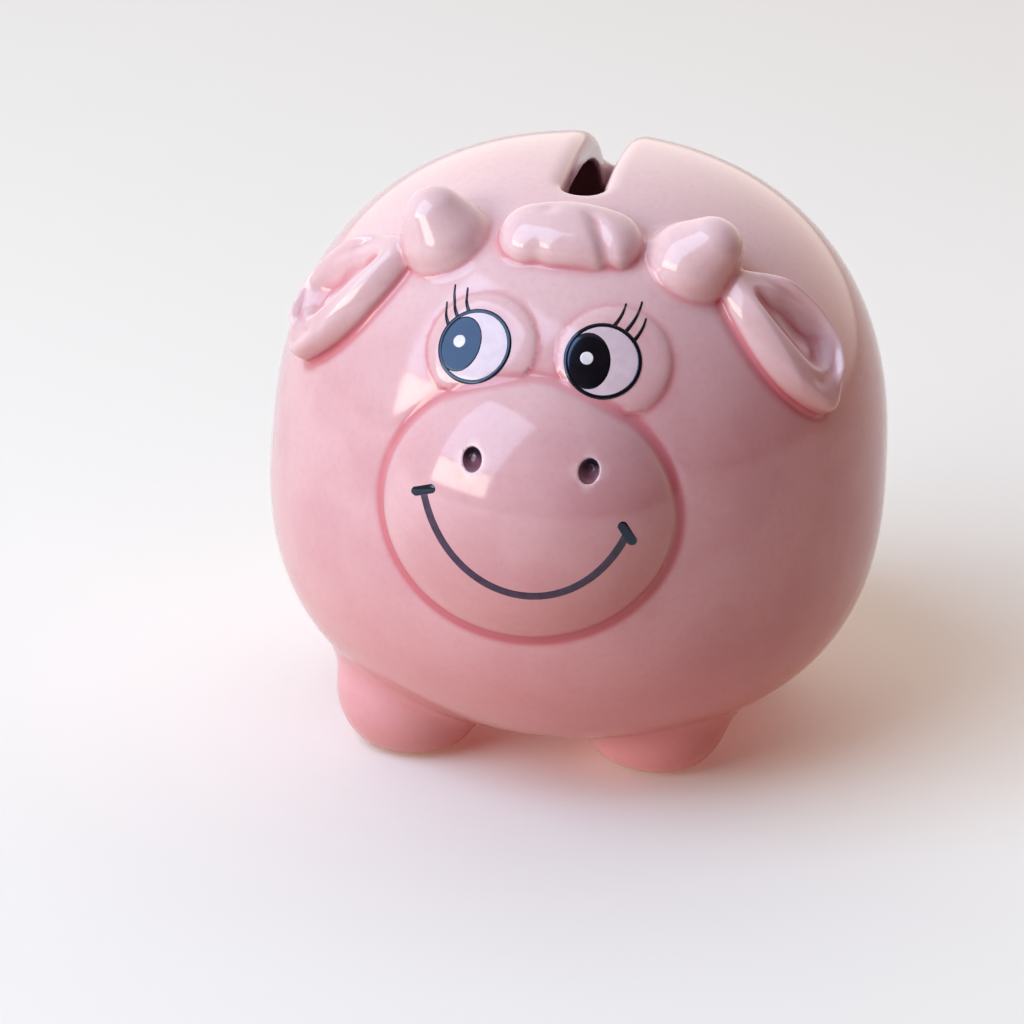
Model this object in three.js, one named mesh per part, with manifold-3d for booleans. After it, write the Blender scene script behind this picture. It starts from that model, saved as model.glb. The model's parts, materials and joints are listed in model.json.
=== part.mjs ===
// A figural animal coin bank: a hollow glazed earthenware animal with a coin slot in its
// crown and a soft stopper in its belly. Millimetres, +Z up. The animal faces -Y, so its own
// left is +X, and the origin is on the ground under the middle of the whole bank.
import * as THREE from 'three';
import { mergeVertices } from 'three/addons/utils/BufferGeometryUtils.js';
import Module from 'manifold-3d';

const wasm = await Module();
wasm.setup();

// Driving dimensions. Side and height place a feature on the front of the body.
const BODY = { halfWidth: 29.8, halfDepth: 30.9, halfHeight: 27.65, top: 57.5, taper: 0.055 };
const SQUARENESS = { crown: 2.36, belly: 2.66 };
const WALL = 3;
const JOIN_GAP = 0.3;
const SEAT_HEIGHT = 3.7;
const HOLE = { radius: 7.8, back: 2.2 };
const SLOT = { width: 4.4, length: 32.4, middle: 5.7, corner: 1.7 };

const MUZZLE = { middle: [-0.5, -24.2, 30.8], halfWidth: 14.3, halfDepth: 10.8, halfHeight: 13.6, tilt: 6 };
const NOSTRIL = { side: 5.2, height: 37.4, halfWidth: 0.9, halfHeight: 1.1, depth: 1.2 };
const SMILE = { side: 0.3, rise: 5.6, halfWidth: 10, halfHeight: 12.1, lean: 9.6, stroke: 0.7 };
const SMILE_ENDS = [-80, 54];
const TICK = { length: 2.5, turns: [-68, 32] };
const EYE = { side: 5.8, height: 45.3, radius: 3.55, drift: -0.8 };
const LASH = { angles: [34, 52, 74], lengths: [2.4, 3.3, 2.5], heading: 64, twist: -11 };
const LASH_WIDTH = { root: 0.6, tip: 0.3 };
const MOUND = { side: 5.7, radius: 5.4, rise: 0.45, sunk: 0.5 };
const TRANSFER = { lift: 0.1, thickness: 0.25 };

const HORN = { side: 11.3, height: 52.2, halfWidth: 4.4, halfLength: 4.8, lift: 1.6 };
const TUFT = { height: 54.1, halfWidth: 3.5, halfLength: 3.9, rise: 2.6, spread: 3.4 };
const EAR = { root: [14.9, 51.6], tip: [24.2, 38.8], outer: 4.2, inner: 4.5, rise: 2.8, edge: 1.1 };
const EAR_HOLLOW = { depth: 0.9, rim: 1.7 };
const FOOT = { sole: 4.2, bulge: 7.4, bulgeHeight: 5.5 };
const FRONT_FEET = { side: 11.75, fore: -11.2, sideDrift: -1.45, foreDrift: 1.1 };
const REAR_FEET = { side: 12.6, fore: 13.2 };
const TAIL = { radius: 1.5, root: [0, 36], tip: [8, 20], bow: -5, rootRadius: 2.25 };
const TAIL_TUFT = { radius: 2.7, length: 4.2 };

const STOPPER = { neckRadius: 7.2, ribRadius: 7.6, length: 6.5 };
const FLANGE = { radius: 8.6, thickness: 1.2, bevel: 0.4 };
const GRIP = { radius: 6.1, depth: 0.8, barWidth: 2.2 };

const bodyMiddle = BODY.top - BODY.halfHeight;
const degrees = Math.PI / 180;

// Materials: the pink glaze is palest where it runs thin on the small raised pieces.
const glaze = (colour) => new THREE.MeshStandardMaterial({ color: colour, roughness: 0.12, metalness: 0 });
const enamel = () => new THREE.MeshStandardMaterial({ color: 0x120e12, roughness: 0.2, metalness: 0 });
const softPlastic = () => new THREE.MeshStandardMaterial({ color: 0xe9e4da, roughness: 0.5, metalness: 0 });

// Solids: geometry goes in and out of the boolean library here.
function solid(geometry) {
  const bare = geometry.clone();
  bare.deleteAttribute('normal');
  bare.deleteAttribute('uv');
  const merged = mergeVertices(bare);
  const corners = merged.index.array;
  const triVerts = [];
  for (let i = 0; i < corners.length; i += 3) {
    const [a, b, c] = corners.slice(i, i + 3);
    if (a !== b && b !== c && c !== a) triVerts.push(a, b, c);
  }
  const vertProperties = new Float32Array(merged.attributes.position.array);
  const mesh = new wasm.Mesh({ numProp: 3, vertProperties, triVerts: Uint32Array.from(triVerts) });
  return new wasm.Manifold(mesh);
}

function meshOf(name, shape, material) {
  const { vertProperties, triVerts } = shape.getMesh();
  const geometry = new THREE.BufferGeometry();
  geometry.setAttribute('position', new THREE.BufferAttribute(vertProperties, 3));
  geometry.setIndex(new THREE.BufferAttribute(triVerts, 1));
  geometry.computeVertexNormals();
  const mesh = new THREE.Mesh(geometry, material);
  mesh.name = name;
  return mesh;
}

// A frame at a point, with its local z along out and its local y as near to up as it can be.
function facing(point, out, up = new THREE.Vector3(0, 0, 1)) {
  const z = out.clone().normalize();
  const x = up.clone().cross(z).normalize();
  const y = z.clone().cross(x);
  return new THREE.Matrix4().makeBasis(x, y, z).setPosition(point);
}

function ellipsoid(halfX, halfY, halfZ, placing, around = 20, rows = 10) {
  const geometry = new THREE.SphereGeometry(1, around, rows);
  return solid(geometry.scale(halfX, halfY, halfZ).applyMatrix4(placing));
}

function lathe(profile, around) {
  const points = profile.map(([radius, height]) => new THREE.Vector2(radius, height));
  return new THREE.LatheGeometry(points, around).rotateX(Math.PI / 2);
}

function prism(shape, from, to, placing, curveSegments = 12) {
  const geometry = new THREE.ExtrudeGeometry(shape, { depth: to - from, bevelEnabled: false, curveSegments });
  return solid(geometry.translate(0, 0, from).applyMatrix4(placing));
}

// The body is a superellipsoid, a little narrower at the top and squarer below its middle,
// with a flat underneath.
const squareness = (level) => (level > 0 ? SQUARENESS.crown : SQUARENESS.belly);

function bodyOutline(grow, floor, rows) {
  const halfHeight = BODY.halfHeight + grow;
  const start = Math.acos(((bodyMiddle - floor) / halfHeight) ** (SQUARENESS.belly / 2));
  const profile = [[0, floor]];
  for (let row = 0; row <= rows; row += 1) {
    const angle = start + ((Math.PI - start) * row) / rows;
    const power = 2 / squareness(-Math.cos(angle));
    const level = -Math.sign(Math.cos(angle)) * Math.abs(Math.cos(angle)) ** power;
    const radius = row === rows ? 0 : Math.sin(angle) ** power;
    const width = (BODY.halfWidth + grow) * (1 - BODY.taper * level);
    profile.push([radius * width, bodyMiddle + halfHeight * level]);
  }
  return profile;
}

function bodySolid(grow, floor, around = 48, rows = 18) {
  const stretch = (BODY.halfDepth + grow) / (BODY.halfWidth + grow);
  return solid(lathe(bodyOutline(grow, floor, rows), around).scale(1, stretch, 1));
}

// The point on the body at a side and a height, on the front (face -1) or on the back (face 1).
function onBody(side, height, face = -1) {
  const level = (height - bodyMiddle) / BODY.halfHeight;
  const width = 1 - BODY.taper * level;
  const power = squareness(level);
  const reach = (1 - Math.abs(level) ** power) ** (1 / power) * width;
  const across = side / BODY.halfWidth;
  return new THREE.Vector3(side, face * BODY.halfDepth * Math.sqrt(reach ** 2 - across ** 2), height);
}

// The outward direction of the body's surface, from two short steps along it.
function outwards(side, height, face = -1) {
  const step = 0.2;
  const across = onBody(side + step, height, face).sub(onBody(side - step, height, face));
  const upward = onBody(side, height + step, face).sub(onBody(side, height - step, face));
  return across.cross(upward).multiplyScalar(-face).normalize();
}

function onSurface(side, height, face = -1, depth = 0) {
  const out = outwards(side, height, face);
  return facing(onBody(side, height, face).addScaledVector(out, -depth), out);
}

// A flat outline of a line with a changing width and square ends.
function strokeShape(line, halfWidth) {
  const left = [];
  const right = [];
  line.forEach((point, index) => {
    const before = line[Math.max(index - 1, 0)];
    const after = line[Math.min(index + 1, line.length - 1)];
    const along = after.clone().sub(before).normalize();
    const across = new THREE.Vector2(-along.y, along.x).multiplyScalar(halfWidth(index / (line.length - 1)));
    left.push(point.clone().add(across));
    right.unshift(point.clone().sub(across));
  });
  return new THREE.Shape([...left, ...right]);
}

// A low round mound under each eye. The outer factor is 1 on the animal's left and -1 on its right.
function mound(outer, grow) {
  const radius = MOUND.radius + grow;
  const placing = onSurface(outer * MOUND.side, EYE.height, -1, MOUND.sunk);
  return ellipsoid(radius, radius, MOUND.rise + MOUND.sunk + grow, placing);
}

// The body and its eye mounds, grown a little, which every luted piece is cut back to.
const bodyClearance = bodySolid(JOIN_GAP, SEAT_HEIGHT - JOIN_GAP)
  .add(mound(1, JOIN_GAP))
  .add(mound(-1, JOIN_GAP));
const luted = (shape) => shape.subtract(bodyClearance);

function coinSlot() {
  const { corner } = SLOT;
  const across = SLOT.width / 2 - corner;
  const along = SLOT.length / 2 - corner;
  const outline = new THREE.Shape();
  outline.absarc(across, along, corner, 0, Math.PI / 2);
  outline.absarc(-across, along, corner, Math.PI / 2, Math.PI);
  outline.absarc(-across, -along, corner, Math.PI, 1.5 * Math.PI);
  outline.absarc(across, -along, corner, 1.5 * Math.PI, 2 * Math.PI);
  const placing = new THREE.Matrix4().makeTranslation(0, SLOT.middle, 0);
  return prism(outline, bodyMiddle, BODY.top + WALL, placing, 5);
}

function bodyShell() {
  const outside = bodySolid(0, SEAT_HEIGHT);
  const inside = bodySolid(-WALL, SEAT_HEIGHT + WALL, 32, 12);
  const hole = new THREE.CylinderGeometry(HOLE.radius, HOLE.radius, 4 * WALL, 32).rotateX(Math.PI / 2);
  hole.translate(0, HOLE.back, SEAT_HEIGHT + WALL / 2);
  const blank = outside.add(mound(1, 0)).add(mound(-1, 0));
  return blank.subtract(inside).subtract(coinSlot()).subtract(solid(hole));
}

const muzzleFacing = new THREE.Vector3(0, -Math.cos(MUZZLE.tilt * degrees), Math.sin(MUZZLE.tilt * degrees));
const muzzlePlacing = facing(new THREE.Vector3(...MUZZLE.middle), muzzleFacing);

function muzzleDome(grow) {
  const half = [MUZZLE.halfWidth + grow, MUZZLE.halfHeight + grow, MUZZLE.halfDepth + grow];
  return ellipsoid(...half, muzzlePlacing, 32, 16);
}

function muzzle() {
  let shape = luted(muzzleDome(0));
  for (const side of [-NOSTRIL.side, NOSTRIL.side]) {
    const across = side / MUZZLE.halfWidth;
    const rise = (NOSTRIL.height - MUZZLE.middle[2]) / MUZZLE.halfHeight;
    const forward = MUZZLE.halfDepth * Math.sqrt(1 - across ** 2 - rise ** 2);
    const point = new THREE.Vector3(MUZZLE.middle[0] + side, MUZZLE.middle[1] - forward, NOSTRIL.height);
    const placing = facing(point, muzzleFacing);
    shape = shape.subtract(ellipsoid(NOSTRIL.halfWidth, NOSTRIL.halfHeight, NOSTRIL.depth, placing, 10, 6));
  }
  return shape;
}

function smileTransfer() {
  const lean = SMILE.lean * degrees;
  const middle = new THREE.Vector2(SMILE.side, SMILE.rise);
  const at = (angle) => {
    const point = new THREE.Vector2(SMILE.halfWidth * Math.sin(angle), -SMILE.halfHeight * Math.cos(angle));
    return point.rotateAround(new THREE.Vector2(), lean).add(middle);
  };
  const [first, last] = SMILE_ENDS.map((angle) => angle * degrees);
  const steps = 18;
  const line = [];
  for (let step = 0; step <= steps; step += 1) line.push(at(first + ((last - first) * step) / steps));
  const halfStroke = SMILE.stroke / 2;
  const skin = muzzleDome(TRANSFER.lift + TRANSFER.thickness).subtract(muzzleDome(TRANSFER.lift));
  let outline = prism(strokeShape(line, () => halfStroke), 0, 20, muzzlePlacing);
  for (const [end, turn] of [[line[0], TICK.turns[0]], [line[steps], TICK.turns[1]]]) {
    const along = new THREE.Vector2(0, TICK.length / 2).rotateAround(new THREE.Vector2(), turn * degrees);
    const bar = [end.clone().sub(along), end.clone(), end.clone().add(along)];
    outline = outline.add(prism(strokeShape(bar, () => halfStroke), 0, 20, muzzlePlacing));
  }
  return skin.intersect(outline);
}

// An eye: a round spot with three lashes that leave its outer upper edge side by side.
function eyeTransfer(outer) {
  const placing = onSurface(outer * EYE.side + EYE.drift, EYE.height);
  const disc = new THREE.Shape();
  disc.absarc(0, 0, EYE.radius, 0, 2 * Math.PI);
  let outline = prism(disc, -2, 4, placing, 12);
  const towards = (angle) => new THREE.Vector2(outer * Math.cos(angle * degrees), Math.sin(angle * degrees));
  const twist = outer > 0 ? 0 : LASH.twist;
  LASH.angles.forEach((angle, index) => {
    const start = towards(angle + twist).multiplyScalar(0.9 * EYE.radius);
    const way = towards(LASH.heading).multiplyScalar(LASH.lengths[index]);
    const line = [0, 0.5, 1.1].map((k) => start.clone().addScaledVector(way, k));
    const halfWidth = (t) => (LASH_WIDTH.root + (LASH_WIDTH.tip - LASH_WIDTH.root) * t) / 2;
    outline = outline.add(prism(strokeShape(line, halfWidth), -2, 4, placing));
  });
  const layer = (grow) => bodySolid(grow, SEAT_HEIGHT).add(mound(outer, grow));
  return layer(TRANSFER.lift + TRANSFER.thickness).subtract(layer(TRANSFER.lift)).intersect(outline);
}

function horn(outer, grow = 0) {
  const side = outer * HORN.side;
  const out = outwards(side, HORN.height).add(new THREE.Vector3(0, 0, HORN.lift));
  const placing = facing(onBody(side, HORN.height), out, new THREE.Vector3(0, 1, 0));
  const radius = HORN.halfWidth + grow;
  return ellipsoid(radius, radius, HORN.halfLength + grow, placing, 18, 10);
}

// The forelock: a low middle lock between two side locks.
function hairTuft() {
  const lock = (side, size) => {
    const placing = onSurface(side, TUFT.height - 0.05 * side ** 2);
    return ellipsoid(TUFT.halfWidth * size, TUFT.halfLength * size, TUFT.rise * size, placing, 16, 10);
  };
  return luted(lock(0, 1).add(lock(TUFT.spread, 0.9)).add(lock(-TUFT.spread, 0.9)));
}

// An ear hangs from beside the horn, as a leaf with a hollow in its middle.
function ear(outer) {
  const root = onBody(outer * EAR.root[0], EAR.root[1]);
  const tip = onBody(outer * EAR.tip[0], EAR.tip[1]);
  const middle = root.clone().add(tip).divideScalar(2);
  const along = root.clone().sub(tip);
  const placing = facing(middle, outwards(middle.x, middle.z), along);
  const leaf = (inset) => {
    const half = along.length() / 2 - inset;
    const [high, low] = [outer * (EAR.outer - inset), -outer * (EAR.inner - inset / 2)];
    const shape = new THREE.Shape();
    shape.moveTo(0, half);
    shape.bezierCurveTo(high * 1.5, half, high * 1.3, -half * 0.5, 0, -half);
    shape.bezierCurveTo(low * 1.3, -half * 0.5, low * 1.5, half, 0, half);
    return shape;
  };
  const bevel = { bevelThickness: EAR.edge, bevelSize: EAR.edge, bevelOffset: -EAR.edge, bevelSegments: 2 };
  const options = { depth: EAR.rise + 3 - EAR.edge, bevelEnabled: true, curveSegments: 8, ...bevel };
  const blank = new THREE.ExtrudeGeometry(leaf(0), options).translate(0, 0, -3).applyMatrix4(placing);
  const hollow = prism(leaf(EAR_HOLLOW.rim), EAR.rise - EAR_HOLLOW.depth, EAR.rise + 2, placing);
  return luted(solid(blank)).subtract(hollow).subtract(horn(outer, JOIN_GAP));
}

function foot(side, fore) {
  const profile = [[0, 0], [FOOT.sole, 0]];
  const rows = 5;
  for (let row = 1; row <= rows; row += 1) {
    const angle = ((row / rows) * Math.PI) / 2;
    const radius = FOOT.sole + (FOOT.bulge - FOOT.sole) * Math.sin(angle);
    profile.push([radius, FOOT.bulgeHeight * (1 - Math.cos(angle))]);
  }
  const crown = FOOT.bulgeHeight + FOOT.bulge;
  profile.push([FOOT.bulge * 0.9, FOOT.bulgeHeight + 0.45 * FOOT.bulge], [0, crown]);
  return luted(solid(lathe(profile, 24).translate(side, fore, 0)));
}

// The front feet stand a little to the animal's right, and its left foot a little further back.
function frontFoot(outer) {
  const { side, fore, sideDrift, foreDrift } = FRONT_FEET;
  return foot(outer * side + sideDrift, fore + outer * foreDrift);
}

// The tail lies on the back, bows to one side and ends in a tuft of hair.
function tail() {
  const points = [0, 0.35, 0.7, 1].map((t) => {
    const bow = TAIL.bow * Math.sin(Math.PI * t) * (1 - t);
    const side = TAIL.root[0] + (TAIL.tip[0] - TAIL.root[0]) * t ** 2 + bow;
    const height = TAIL.root[1] + (TAIL.tip[1] - TAIL.root[1]) * t;
    return onBody(side, height, 1).addScaledVector(outwards(side, height, 1), TAIL.radius / 3);
  });
  const section = new THREE.Shape();
  section.absarc(0, 0, TAIL.radius, 0, 2 * Math.PI);
  const extrudePath = new THREE.CatmullRomCurve3(points);
  const cord = new THREE.ExtrudeGeometry(section, { steps: 14, curveSegments: 5, extrudePath });
  const hair = onSurface(...TAIL.tip, 1);
  const root = onSurface(...TAIL.root, 1);
  const tuft = ellipsoid(TAIL_TUFT.radius, TAIL_TUFT.length, TAIL_TUFT.radius, hair, 14, 8);
  const knob = ellipsoid(TAIL.rootRadius, TAIL.rootRadius, TAIL.rootRadius, root, 12, 6);
  return luted(solid(cord).add(tuft).add(knob));
}

// The stopper: a soft round plug with a flange under the seat and a grip bar in a round recess.
function baseStopper() {
  const top = SEAT_HEIGHT - JOIN_GAP;
  const bottom = top - FLANGE.thickness;
  const profile = [
    [0, bottom],
    [FLANGE.radius - FLANGE.bevel, bottom],
    [FLANGE.radius, bottom + FLANGE.bevel],
    [FLANGE.radius, top],
    [STOPPER.neckRadius, top],
    [STOPPER.neckRadius, top + STOPPER.length * 0.5],
    [STOPPER.ribRadius, top + STOPPER.length * 0.6],
    [STOPPER.ribRadius, top + STOPPER.length * 0.7],
    [STOPPER.neckRadius * 0.85, top + STOPPER.length],
    [0, top + STOPPER.length],
  ];
  const recess = new THREE.CylinderGeometry(GRIP.radius, GRIP.radius, 2 * GRIP.depth, 32);
  recess.rotateX(Math.PI / 2);
  const bar = new THREE.BoxGeometry(2 * GRIP.radius, GRIP.barWidth, 2 * GRIP.depth);
  const cut = solid(recess.translate(0, 0, bottom)).subtract(solid(bar.translate(0, 0, bottom)));
  return solid(lathe(profile, 32)).subtract(cut).translate(0, HOLE.back, 0);
}

const bank = new THREE.Group();
bank.add(
  meshOf('body_shell', bodyShell(), glaze(0xdca6aa)),
  meshOf('muzzle', muzzle(), glaze(0xd8a3aa)),
  meshOf('hair_tuft', hairTuft(), glaze(0xe3c0c8)),
  meshOf('tail', tail(), glaze(0xe0b4bb)),
  meshOf('smile_transfer', smileTransfer(), enamel()),
  meshOf('base_stopper', baseStopper(), softPlastic()),
);
for (const [name, outer] of [['left', 1], ['right', -1]]) {
  bank.add(
    meshOf(`${name}_ear`, ear(outer), glaze(0xd29aa4)),
    meshOf(`${name}_horn`, luted(horn(outer)), glaze(0xe5c4cc)),
    meshOf(`${name}_eye_transfer`, eyeTransfer(outer), enamel()),
    meshOf(`front_${name}_foot`, frontFoot(outer), glaze(0xcf9298)),
    meshOf(`rear_${name}_foot`, foot(outer * REAR_FEET.side, REAR_FEET.fore), glaze(0xcf9298)),
  );
}

// The bank stands with the middle of its whole depth over the origin.
const whole = new THREE.Box3().setFromObject(bank);
bank.position.y = -(whole.min.y + whole.max.y) / 2;

export default bank;
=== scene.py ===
import json
import math

import bpy
import numpy as np
from mathutils import Matrix, Vector


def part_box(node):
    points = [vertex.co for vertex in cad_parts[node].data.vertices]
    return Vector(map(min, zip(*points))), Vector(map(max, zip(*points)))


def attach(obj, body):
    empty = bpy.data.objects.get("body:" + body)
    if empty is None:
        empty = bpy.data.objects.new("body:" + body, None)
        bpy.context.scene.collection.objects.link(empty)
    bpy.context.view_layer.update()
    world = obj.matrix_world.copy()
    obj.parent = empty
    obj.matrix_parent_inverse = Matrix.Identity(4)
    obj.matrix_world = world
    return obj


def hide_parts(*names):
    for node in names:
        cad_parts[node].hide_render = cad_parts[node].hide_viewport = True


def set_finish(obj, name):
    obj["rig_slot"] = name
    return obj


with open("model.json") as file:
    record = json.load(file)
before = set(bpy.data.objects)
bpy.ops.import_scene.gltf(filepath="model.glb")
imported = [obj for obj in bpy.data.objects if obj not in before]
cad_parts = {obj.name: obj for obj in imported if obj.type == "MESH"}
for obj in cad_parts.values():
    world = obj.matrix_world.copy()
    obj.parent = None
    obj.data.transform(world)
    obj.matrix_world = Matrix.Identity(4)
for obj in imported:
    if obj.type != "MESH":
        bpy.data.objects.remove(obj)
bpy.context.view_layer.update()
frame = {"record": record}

MM = 0.001


def cad_box(node):
    low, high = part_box(node)
    return np.array(low) / MM, np.array(high) / MM


# ---------------------------------------------------------------- driving sizes
HALF_WIDTH, HALF_DEPTH, HALF_HEIGHT = 29.8, 30.9, 27.65
TOP, TAPER = 57.5, 0.055
CROWN_POWER, BELLY_POWER = 2.36, 2.66
MIDDLE = TOP - HALF_HEIGHT
WALL = 3.0
SEAT = cad_box("body_shell")[0][2]
AXIS_Y = (cad_box("body_shell")[0][1] + cad_box("body_shell")[1][1]) / 2

HOLE = {"radius": 7.8, "back": 2.2, "lip": 0.6}
SLOT = {"width": 3.6, "length": 32.4, "middle": 5.7, "corner": 1.75, "lip": 1.9}

MOUND = {"side": 6.1, "height": 45.3, "radius": 4.6, "rise": 0.3, "sunk": 0.5, "blend": 0.9}
MOUND_REACH = 9.0
MUZZLE = {"middle": (-0.5, -24.2, 30.8), "half": (14.3, 13.6, 10.8), "tilt": 6.0}
NOSTRIL = {"side": 5.2, "rise": 5.4, "half": (0.85, 1.0), "depth": 0.9}
HORN = {"side": 11.4, "height": 52.1, "base": 4.3, "tip": 3.0, "length": 2.8, "sunk": 0.7}
# How far each horn turns outwards and upwards: the left one lies lower.
HORN_TURNS = {1.0: (1.0, 0.75), -1.0: (0.85, 1.45)}
TUFT = {"side": 0.3, "height": 53.8, "lock": (3.4, 3.7, 2.6), "spread": 3.3}
EAR = {"root": (14.9, 51.6), "tip": (24.2, 38.8), "rise": 2.4, "droop": 0.4}
EAR |= {"lean": 0.05, "rim": 0.75, "hollow": 1.85}
FOOT = {"half": (7.4, 7.4, 7.4), "height": 6.0, "round": 1.2}
TAIL = {"radius": 1.5, "root": (0.0, 36.0), "tip": (8.0, 20.0), "bow": -5.0, "tuft": (2.7, 4.4)}


# ---------------------------------------------------------------- vectors and distances
def unit(vector):
    vector = np.asarray(vector, float)
    return vector / np.linalg.norm(vector)


def smooth_min(a, b, blend):
    share = np.clip(0.5 + 0.5 * (b - a) / blend, 0.0, 1.0)
    return b + (a - b) * share - blend * share * (1.0 - share)


def smooth_max(a, b, blend):
    return -smooth_min(-a, -b, blend)


def ramp(value, low, high):
    """0 below low, 1 above high and smooth between them."""
    share = np.clip((value - low) / (high - low), 0.0, 1.0)
    return share * share * (3.0 - 2.0 * share)


def bump(value, width):
    return np.exp(-((value / width) ** 2))


def ellipsoid(p, half):
    scaled = p / half
    near = np.linalg.norm(scaled, axis=1)
    steep = np.linalg.norm(scaled / half, axis=1)
    return near * (near - 1.0) / np.maximum(steep, 1e-6)


def round_cone(p, start, end, start_radius, end_radius):
    """Distance to the hull of two spheres."""
    along = end - start
    length = np.linalg.norm(along)
    along = along / length
    lean = (start_radius - end_radius) / length
    offset = p - start
    level = offset @ along
    across = np.linalg.norm(offset - level[:, None] * along, axis=1)
    level = np.clip(level - across * lean / math.sqrt(1.0 - lean * lean), 0.0, length)
    radius = start_radius + (end_radius - start_radius) * level / length
    return np.linalg.norm(offset - level[:, None] * along, axis=1) - radius


class Placing:
    """A local frame: z points out of the surface, y as near to up as it can be."""

    def __init__(self, origin, out, up=(0.0, 0.0, 1.0)):
        self.origin = np.asarray(origin, float)
        z = unit(out)
        x = unit(np.cross(up, z))
        self.axes = np.array([x, np.cross(z, x), z])

    def local(self, p):
        return (p - self.origin) @ self.axes.T

    def world(self, q):
        return self.origin + q @ self.axes


def slopes(field, p, step):
    """The field's gradient by central differences."""
    columns = []
    for axis in np.eye(3) * step:
        columns.append((field(p + axis) - field(p - axis)) / (2.0 * step))
    return np.stack(columns, axis=1)


# ---------------------------------------------------------------- the body
def plain_body(p):
    """Distance to the body's superellipsoid, squarer below and narrowing a little towards the top."""
    level = (p[:, 2] - MIDDLE) / HALF_HEIGHT
    width = 1.0 - TAPER * level
    across = np.hypot(p[:, 0] / (HALF_WIDTH * width), p[:, 1] / (HALF_DEPTH * width))
    power = np.where(level > 0.0, CROWN_POWER, BELLY_POWER)
    reach = np.maximum((across**power + np.abs(level) ** power) ** (1.0 / power), 1e-3)
    side_slope = (across / reach) ** (power - 1.0) / (HALF_WIDTH * width)
    up_slope = (np.abs(level) / reach) ** (power - 1.0) / HALF_HEIGHT
    return (reach - 1.0) / np.maximum(np.hypot(side_slope, up_slope), 1e-4)


def on_body(side, height, face=-1.0):
    """The point of the body at a side and a height, on its front (-1) or its back (1)."""
    level = (height - MIDDLE) / HALF_HEIGHT
    power = CROWN_POWER if level > 0.0 else BELLY_POWER
    reach = (1.0 - abs(level) ** power) ** (1.0 / power) * (1.0 - TAPER * level)
    return np.array([side, face * HALF_DEPTH * math.sqrt(reach**2 - (side / HALF_WIDTH) ** 2), height])


def outwards(point):
    return unit(slopes(plain_body, point[None, :], 0.05)[0])


def on_surface(side, height, face=-1.0):
    point = on_body(side, height, face)
    return Placing(point, outwards(point))


MOUND_PLACES = [on_surface(outer * MOUND["side"], MOUND["height"]) for outer in (1.0, -1.0)]
MOUND_HALF = (MOUND["radius"], MOUND["radius"], MOUND["rise"] + MOUND["sunk"])


def trunk(p):
    """The body with its flat seat underneath and a low mound under each eye."""
    distance = smooth_max(plain_body(p), SEAT - p[:, 2], 1.2)
    for place in MOUND_PLACES:
        near = np.abs(p - place.origin).max(axis=1) < MOUND_REACH
        if near.any():
            q = place.local(p[near])
            q[:, 2] += MOUND["sunk"]
            distance[near] = smooth_min(distance[near], ellipsoid(q, MOUND_HALF), MOUND["blend"])
    return distance


# ---------------------------------------------------------------- the luted pieces
class Part:
    """A piece luted on the body: its own distance, where it is, and how its joint is filled."""

    def __init__(self, node, distance, fillet, cell, groove=0.0, margin=4.0):
        low, high = cad_box(node)
        self.node, self.distance, self.fillet, self.groove, self.cell = node, distance, fillet, groove, cell
        self.low = low - margin - (0.0, AXIS_Y, 0.0)
        self.high = high + margin - (0.0, AXIS_Y, 0.0)

    def near(self, p):
        return np.all((p > self.low - 2.5) & (p < self.high + 2.5), axis=1)


MUZZLE_PLACE = Placing(
    MUZZLE["middle"], (0.0, -math.cos(math.radians(MUZZLE["tilt"])), math.sin(math.radians(MUZZLE["tilt"])))
)


def muzzle_dome(p):
    return ellipsoid(MUZZLE_PLACE.local(p), MUZZLE["half"])


def muzzle_front(side, rise):
    """The point of the muzzle at a side and a rise in its own frame."""
    half_side, half_rise, half_out = MUZZLE["half"]
    out = half_out * math.sqrt(1.0 - (side / half_side) ** 2 - (rise / half_rise) ** 2)
    return MUZZLE_PLACE.world(np.array([side, rise, out]))


NOSTRIL_PLACES = [
    Placing(muzzle_front(side - MUZZLE["middle"][0], NOSTRIL["rise"]), MUZZLE_PLACE.axes[2])
    for side in (NOSTRIL["side"], -NOSTRIL["side"])
]


def muzzle(p):
    distance = muzzle_dome(p)
    for place in NOSTRIL_PLACES:
        q = place.local(p)
        across = np.hypot(q[:, 0] / NOSTRIL["half"][0], q[:, 1] / NOSTRIL["half"][1])
        distance = distance + NOSTRIL["depth"] * (1.0 - ramp(across, 0.25, 1.25)) * (np.abs(q[:, 2]) < 5.0)
    return distance


def horn(outer):
    foot_point = on_body(outer * HORN["side"], HORN["height"])
    out = outwards(foot_point)
    start = foot_point - out * HORN["sunk"]
    spread, lift = HORN_TURNS[outer]
    end = start + unit(out + np.array([outer * spread, 0.1, lift])) * HORN["length"]
    return lambda p: round_cone(p, start, end, HORN["base"], HORN["tip"])


TUFT_PLACE = on_surface(TUFT["side"], TUFT["height"])
# Each crease: its side, its lean, and where it starts and ends from bottom to top.
TUFT_CREASES = ((2.2, -0.5, -6.0, 1.9), (-2.3, 0.12, -0.6, 2.6), (-2.4, 0.1, -6.0, -1.4))
TUFT_CREASE_DEPTHS = (0.42, 0.22, 0.16)


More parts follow.
